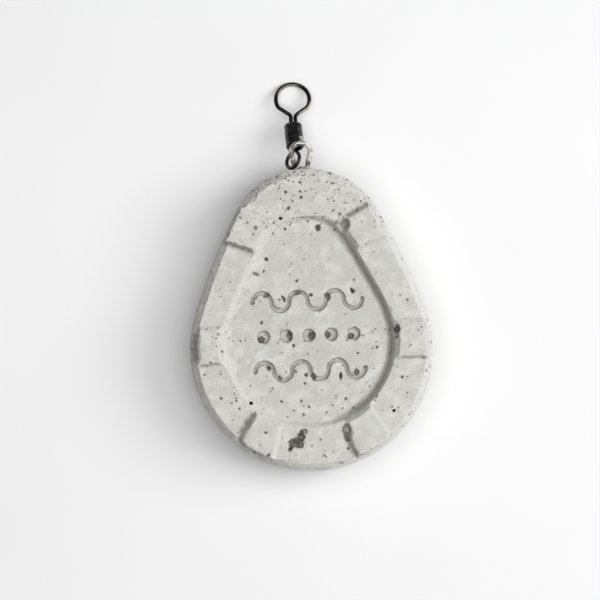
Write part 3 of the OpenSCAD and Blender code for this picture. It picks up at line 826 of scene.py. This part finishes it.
def build_casting():
    """The concrete casting: the part's own solid, weathered, torn, broken and pitted."""
    piece = even_skin()
    mesh = piece.data
    points, normals = get_points(mesh), get_normals(mesh)
    inside = rim_distance(points)
    foot = steepen_panel_wall(points, normals, inside)
    groove = wear_wall_foot(points, foot, inside)
    for row in PULLS:
        pull(points, *row)
    set_points(mesh, points)
    normals = get_normals(mesh)
    edge, crease = edges_and_creases(piece, points, normals)
    torn = weather(points, normals, edge)

    hollow = np.zeros(len(points))
    for seed, line in enumerate(TORN_LINES):
        tear_line(points, crease, *line, seed + 60)
    order = np.argsort(points[:, 0])
    sorted_x = points[order, 0]
    press_pits(points, normals, hollow, order, sorted_x)
    for seed, row in enumerate(BREAKS + breaks_at_marks()):
        break_out(points, hollow, *row, seed + 20)
    press_pores(points, normals, hollow, order, sorted_x, inside)
    hollow = shade_lump(points, hollow, torn)
    # The back rests on the table, so nothing reaches below it
    points[:, 2] = np.maximum(points[:, 2], TABLE_GAP)
    set_points(mesh, points)

    store(mesh, "hollow", hollow)
    store(mesh, "worn", edge * (1.0 - np.minimum(hollow * 2, 1)))
    # The crease share carries painted shade: concave creases, torn lines and the foot groove on
    # the right
    store(mesh, "crease", np.maximum(crease, 0.9 * groove))
    thin = piece.modifiers.new("lighter", "DECIMATE")
    thin.ratio = min(1.0, MOST_TRIANGLES / (2 * len(mesh.polygons)))
    apply_modifiers(piece)
    for polygon in piece.data.polygons:
        polygon.use_smooth = True
    dress(piece, "sinker", "cast_body", concrete())


# Wires

RING_STEPS = 26         # steps in half an eye's ring
LOOP_STEPS = 24         # steps in half of the loop's arc
BEND_STEPS = 8          # steps in a bend of any wire


def arc_points(centre, radius, start, turn, steps):
    """Points on an arc in the plane, with both of its ends."""
    made = []
    for i in range(steps + 1):
        c, s = turned_by(start + turn * i / steps)
        made.append((centre[0] + radius * c, centre[1] + radius * s))
    return made


def eye_route(wire, radius, reach, corner_r, corner_turn):
    """One eye in its own plane, from head to head: the head at 0, 0 and the eye along +Y."""
    neck = NECK_SHARE * wire
    leg_x = LEG_SHARE * wire / 2
    low = EYE_TURN - corner_turn
    cos_low, sin_low = turned_by(low)
    cos_eye, sin_eye = turned_by(EYE_TURN)
    corner_x = (radius - corner_r) * cos_low + corner_r * cos_eye
    corner_y = -(radius - corner_r) * sin_low - corner_r * sin_eye
    slant = (corner_x - leg_x - neck * (1 - cos_eye)) / sin_eye
    half = arc_points((0, reach), radius, 90, -90 - low, RING_STEPS)
    if corner_turn > 0:
        centre = ((radius - corner_r) * cos_low, reach - (radius - corner_r) * sin_low)
        half += arc_points(centre, corner_r, -low, -corner_turn, BEND_STEPS)[1:]
    end = (corner_x - slant * sin_eye, reach + corner_y - slant * cos_eye)
    half.append(end)
    neck_centre = (leg_x + neck, end[1] - neck * sin_eye)
    half += arc_points(neck_centre, neck, 180 - EYE_TURN, EYE_TURN, BEND_STEPS)[1:]
    half.append((leg_x, 0.0))
    left = [(-x, y) for x, y in reversed(half)]
    return [Vector((x, y, 0)) for x, y in left[:-1] + half]


def loop_route():
    """The wire of the loop, from foot to foot, with the loop bent up over the swivel."""
    cos_tilt, sin_tilt = turned_by(LOOP_TILT)
    cos_taper, sin_taper = turned_by(LEG_TAPER)
    closing = math.tan(math.radians(LEG_TAPER))

    def lift(across, out):
        """A place in the loop's plane, which starts at the casting's top."""
        return Vector((across, CASTING_TOP + out * cos_tilt, LOOP_Z + out * sin_tilt))

    exit_x = LOOP_R * cos_taper - (LOOP_REACH - LOOP_R * sin_taper) * closing
    arc = arc_points((0, LOOP_REACH), LOOP_R, 90, -90 - LEG_TAPER, LOOP_STEPS)
    half = [lift(across, out) for across, out in arc]
    half.append(lift(exit_x, 0))
    half.append(lift(exit_x - ELBOW_DEPTH * closing, -ELBOW_DEPTH))
    knee = half[-1] + Vector((0, -ANCHOR_LEN, 0))
    half.append(knee)
    for i in range(1, BEND_STEPS + 1):
        c, s = turned_by(FOOT_TURN * i / BEND_STEPS)
        half.append(knee + FOOT_BEND * Vector((1 - c, -s, 0)))
    c, s = turned_by(FOOT_TURN)
    half.append(half[-1] + FOOT_LEN * Vector((s, -c, 0)))
    left = [Vector((-p.x, p.y, p.z)) for p in reversed(half)]
    return [p + Vector((LOOP_X, 0, 0)) for p in left[:-1] + half]


def resample(route):
    """Points at even distances along a route."""
    lengths = [0.0]
    for a, b in zip(route, route[1:]):
        lengths.append(lengths[-1] + (b - a).length)
    count = max(2, int(round(lengths[-1] / WIRE_STEP)))
    spots = np.linspace(0.0, lengths[-1], count + 1)
    columns = [np.interp(spots, lengths, [p[k] for p in route]) for k in range(3)]
    return [Vector(p) for p in zip(*columns)]


def sweep(name, route, wire):
    """A round wire along a route, closed at both ends, as a bmesh."""
    curve = bpy.data.curves.new(name, "CURVE")
    curve.dimensions = "3D"
    curve.bevel_depth = wire / 2 * MM
    curve.bevel_resolution = 5
    curve.use_fill_caps = True
    spline = curve.splines.new("POLY")
    spline.points.add(len(route) - 1)
    for point, place in zip(spline.points, route):
        point.co = (*(place * MM), 1.0)
    holder = new_object(name + "_line", curve)
    mesh = bpy.data.meshes.new_from_object(evaluated(holder))
    bpy.data.objects.remove(holder)
    bm = bmesh.new()
    bm.from_mesh(mesh)
    bmesh.ops.remove_doubles(bm, verts=bm.verts, dist=0.002 * MM)
    return bm


def lay_grain(mesh, route, across, stretch=6.0):
    """Stores places that run with a wire, so that streaks lie along it."""
    points = get_points(mesh)
    line = np.array([list(p) for p in route])
    steps = np.linalg.norm(np.diff(line, axis=0), axis=1)
    along = np.concatenate([[0.0], np.cumsum(steps)])
    way = np.gradient(line, axis=0)
    way /= np.linalg.norm(way, axis=1)[:, None]
    side = np.cross(way, np.array(across))
    nearest = np.empty(len(points), dtype=int)
    batch = 2000
    for start in range(0, len(points), batch):
        part = points[start:start + batch]
        gaps = ((part[:, None, :] - line[None, :, :]) ** 2).sum(axis=2)
        nearest[start:start + batch] = gaps.argmin(axis=1)
    off = points - line[nearest]
    shift = np.einsum("ij,ij->i", off, way[nearest])
    values = np.column_stack([(along[nearest] + shift) / stretch, off @ np.array(across),
                              np.einsum("ij,ij->i", off, side[nearest])])
    layer = mesh.attributes.new("grain", "FLOAT_VECTOR", "POINT")
    layer.data.foreach_set("vector", (values * MM).astype(np.float32).ravel())


def head_mesh():
    """The head of an eye: a ball cut flat on both sides, which turns in the barrel."""
    bm = bmesh.new()
    bmesh.ops.create_uvsphere(bm, u_segments=32, v_segments=16, radius=HEAD_R * MM)
    for side in (-1, 1):
        cut = bmesh.ops.bisect_plane(
            bm, geom=list(bm.verts) + list(bm.edges) + list(bm.faces),
            plane_co=(0, 0, side * HEAD_T / 2 * MM), plane_no=(0, 0, side), clear_outer=True)
        rim = [g for g in cut["geom_cut"] if isinstance(g, bmesh.types.BMEdge)]
        bmesh.ops.edgeloop_fill(bm, edges=rim)
    bmesh.ops.rotate(bm, verts=bm.verts, cent=(0, 0, 0),
                     matrix=Matrix.Rotation(math.radians(-90), 3, "X"))
    mesh = bpy.data.meshes.new("head")
    bm.to_mesh(mesh)
    bm.free()
    return mesh


def eye_place(head, turn, droop, roll):
    """Turn and place of an eye whose head is at a point: turned, tipped, then rolled."""
    way = Matrix.Rotation(math.radians(turn), 4, "Z")
    way = way @ Matrix.Rotation(math.radians(droop), 4, "X")
    way = way @ Matrix.Rotation(math.radians(roll), 4, "Y")
    return Matrix.Translation(head) @ way


def highlight_share(points, normals, place, reach):
    """Where an eye gets painted highlights: inside its upper left and outside its lower right, on
    faces turned up.
    """
    turn = np.array(place.to_3x3())
    own = (points - np.array(place.translation)) @ turn
    facing = normals @ turn
    dx, dy = own[:, 0], own[:, 1] - reach
    far = np.maximum(np.hypot(dx, dy), 1e-6)
    outward = (facing[:, 0] * dx + facing[:, 1] * dy) / far
    upward = smooth_step(-0.1, 0.3, facing[:, 2])
    angle = np.degrees(np.arctan2(dy, dx))
    upper_left = smooth_step(60, 85, angle) * smooth_step(178, 150, angle)
    lower_right = smooth_step(-75, -60, angle) * smooth_step(0, -22, angle)
    inner = upper_left * smooth_step(0.45, 0.75, -outward)
    outer = lower_right * smooth_step(0.35, 0.65, outward)
    return (inner + outer) * upward


def build_eye(name, body, node, wire, route, reach, place, material):
    """An eye of the swivel: a bent wire whose two legs end in one head."""
    unevenness = 0.012
    route = resample(route)
    bm = sweep(name, route, wire)
    bmesh.ops.recalc_face_normals(bm, faces=bm.faces)
    bm.from_mesh(head_mesh())
    where = Matrix.Translation(place.translation * MM) @ place.to_3x3().to_4x4()
    bmesh.ops.transform(bm, matrix=where, verts=bm.verts)
    piece = new_object(name, mesh_from(bm, name))
    mesh = piece.data
    points = get_points(mesh)
    points += get_normals(mesh) * (unevenness * rough(points, 0.9, seed=5))[:, None]
    set_points(mesh, points)
    # Painted highlights on the eye; the barrel's chips use the same attribute
    store(mesh, "wear_and_highlight", highlight_share(points, get_normals(mesh), place, reach))
    lay_grain(mesh, [place @ p for p in route], place.to_3x3() @ Vector((0, 0, 1)))
    dress(piece, body, node, material)


def build_small_eye(material):
    reach = SMALL_EYE_R + SMALL_WIRE + HEAD_DEPTH
    route = eye_route(SMALL_WIRE, SMALL_EYE_R, reach, SMALL_EYE_R, 0.0)
    place = eye_place(SMALL_HEAD, 180 - SMALL_EYE_LEAN, DROOP, SMALL_EYE_ROLL)
    build_eye("small_eye", "link", "link_eye", SMALL_WIRE, route, reach, place, material)


def build_large_eye(material):
    reach = LARGE_EYE_REACH + HEAD_DEPTH
    route = eye_route(LARGE_WIRE, LARGE_EYE_R, reach, LARGE_CORNER_R, LARGE_CORNER_TURN)
    place = eye_place(LARGE_HEAD, lean_of(LARGE_WAY), -DROOP, 0.0)
    build_eye("large_eye", "line", "line_eye", LARGE_WIRE, route, reach, place, material)


def build_loop():
    """The steel loop, with lumps of cement on the wire outside the casting."""
    name = "wire_loop_steel"
    film, lump = 0.024, 0.040
    route = resample(loop_route())
    piece = new_object(name, mesh_from(sweep(name, route, LOOP_WIRE), name))
    mesh = piece.data
    points = get_points(mesh)
    right = smooth_step(0.3, 1.6, points[:, 0] - LOOP_X)
    out = smooth_step(CASTING_TOP - 0.3, CASTING_TOP + 0.4, points[:, 1])
    patches = rough(points, 1.3, seed=6) + 0.5 * rough(points, 0.5, seed=7)
    cement = smooth_step(-0.15, 0.25, patches + 0.55 * right - 0.25)
    at_casting = smooth_step(1.1, 0.2, points[:, 1] - CASTING_TOP)
    cement = np.maximum(cement, 0.9 * at_casting)
    lift = cement * out * (film + lump * np.abs(rough(points, 0.6, seed=8)))
    points += get_normals(mesh) * lift[:, None]
    set_points(mesh, points)
    store(mesh, "cement", cement)
    cos_tilt, sin_tilt = turned_by(LOOP_TILT)
    lay_grain(mesh, route, (0, -sin_tilt, cos_tilt))
    dress(piece, "sinker", "wire_loop", loop_steel())


# The barrel

# Places where the plating is chipped off the front: [x, y, size]
CHIPS = [[-0.35, 48.9, 0.34], [0.0, 48.5, 0.30], [-0.1, 47.9, 0.25]]
CHIPS_LOWEST = 6.0
BARREL_SIDES = 64


def barrel_profile():
    """The outline of the barrel's wall: round one end from its inside, then mirrored."""
    inner = BARREL_R - BARREL_WALL
    corner, inner_lip, outer_lip = 0.12, 0.1, 0.06
    waist, waist_start, waist_end, grip_start = 0.05, 1.15, 1.7, 2.1
    round_x = BARREL_R - BARREL_ROUND
    half = [(inner, BARREL_LEN / 2), (inner, BARREL_WALL + corner), (inner - corner, BARREL_WALL),
            (HOLE_R + inner_lip, BARREL_WALL), (HOLE_R, BARREL_WALL - inner_lip),
            (HOLE_R, outer_lip), (HOLE_R + outer_lip, 0.0), (round_x, 0.0)]
    for angle in range(10, 91, 10):
        c, s = turned_by(angle)
        half.append((round_x + BARREL_ROUND * s, BARREL_ROUND - BARREL_ROUND * c))
    half += [(BARREL_R - waist, waist_start), (BARREL_R - waist, waist_end)]
    half += [(BARREL_R, z) for z in np.linspace(grip_start, BARREL_LEN / 2, 8)]
    other = [(x, BARREL_LEN - z) for x, z in reversed(half[:-1])]
    return half + other[:-1]


def build_barrel(material):
    """The rolled shell in which the heads of both eyes turn."""
    bm = bmesh.new()
    verts = [bm.verts.new((x * MM, 0, z * MM)) for x, z in barrel_profile()]
    edges = [bm.edges.new((a, b)) for a, b in zip(verts, verts[1:] + verts[:1])]
    bmesh.ops.spin(bm, geom=verts + edges, cent=(0, 0, 0), axis=(0, 0, 1), dvec=(0, 0, 0),
                   angle=2 * math.pi, steps=BARREL_SIDES, use_merge=True, use_duplicate=False)
    bmesh.ops.remove_doubles(bm, verts=bm.verts, dist=0.001 * MM)
    turn = Matrix.Rotation(math.radians(lean_of(BARREL_WAY)), 4, "Z")
    turn = turn @ Matrix.Rotation(math.radians(-90 - DROOP), 4, "X")
    where = Matrix.Translation(BARREL_START * MM) @ turn
    bmesh.ops.transform(bm, matrix=where, verts=bm.verts)
    piece = new_object("barrel_shell", mesh_from(bm, "barrel_shell"))
    points = get_points(piece.data)
    chips = np.zeros(len(points))
    front = points[:, 2] > CHIPS_LOWEST
    for x, y, size in CHIPS:
        gap = np.hypot(points[:, 0] - x, points[:, 1] - y)
        chips = np.maximum(chips, smooth_step(size * 1.6, size * 0.7, gap) * front)
    store(piece.data, "wear_and_highlight", chips)
    dress(piece, "barrel", "swivel_barrel", material)


# Stage, light and camera: places and sizes here are in metres

def area_lamp(name, place, aim, size, watts):
    lamp = bpy.data.lights.new(name, "AREA")
    lamp.shape = "DISK"
    lamp.size = size
    lamp.energy = watts
    holder = new_object(name, lamp)
    holder.location = place
    holder.rotation_euler = (Vector(aim) - Vector(place)).to_track_quat("-Z", "Y").to_euler()


def build_table():
    bm = bmesh.new()
    bmesh.ops.create_grid(bm, x_segments=1, y_segments=1, size=1.5)
    mesh = mesh_from(bm, "table", smooth=False)
    if mesh.polygons[0].normal.z < 0:
        mesh.flip_normals()
    mesh.materials.append(pale_table())
    new_object("table", mesh)


def build_light():
    """A dim pale room, a window on the right and a wide soft ceiling lamp."""
    world = bpy.data.worlds.new("soft_room")
    bpy.context.scene.world = world
    world.use_nodes = True
    room = world.node_tree.nodes["Background"]
    room.inputs["Color"].default_value = (0.97, 0.98, 1.0, 1.0)
    room.inputs["Strength"].default_value = 0.11
    area_lamp("window", place=(0.628, 0.05, 0.569), aim=(0, 0.01, 0), size=0.6, watts=4.4)
    area_lamp("ceiling", place=(0.0, 0.0, 0.95), aim=(0, 0, 0), size=1.0, watts=6.3)


def build_camera():
    """Looks almost straight down, with the sinker turned a little to the left in the frame."""
    distance = 2.0
    frame_width = 0.138
    sensor = 36.0           # in millimetres, as the lens's length is
    tilt = math.radians(1.2)
    roll = math.radians(-2.4)
    target = Vector((-2.2, 11.5, 12.0)) * MM
    lens = bpy.data.cameras.new("camera")
    lens.sensor_width = sensor
    lens.lens = sensor * distance / frame_width
    lens.clip_start = 0.01
    camera = new_object("camera", lens)
    camera.location = target + distance * Vector((-math.sin(tilt), 0, math.cos(tilt)))
    turn = Matrix.Rotation(-tilt, 4, "Y") @ Matrix.Rotation(roll, 4, "Z")
    camera.rotation_euler = turn.to_euler()
    bpy.context.scene.camera = camera
    bpy.context.scene.view_settings.view_transform = "Standard"


build_camera()
build_table()
build_light()
build_casting()
build_loop()
plating = dark_plating()
build_small_eye(plating)
build_large_eye(plating)
build_barrel(barrel_plating())
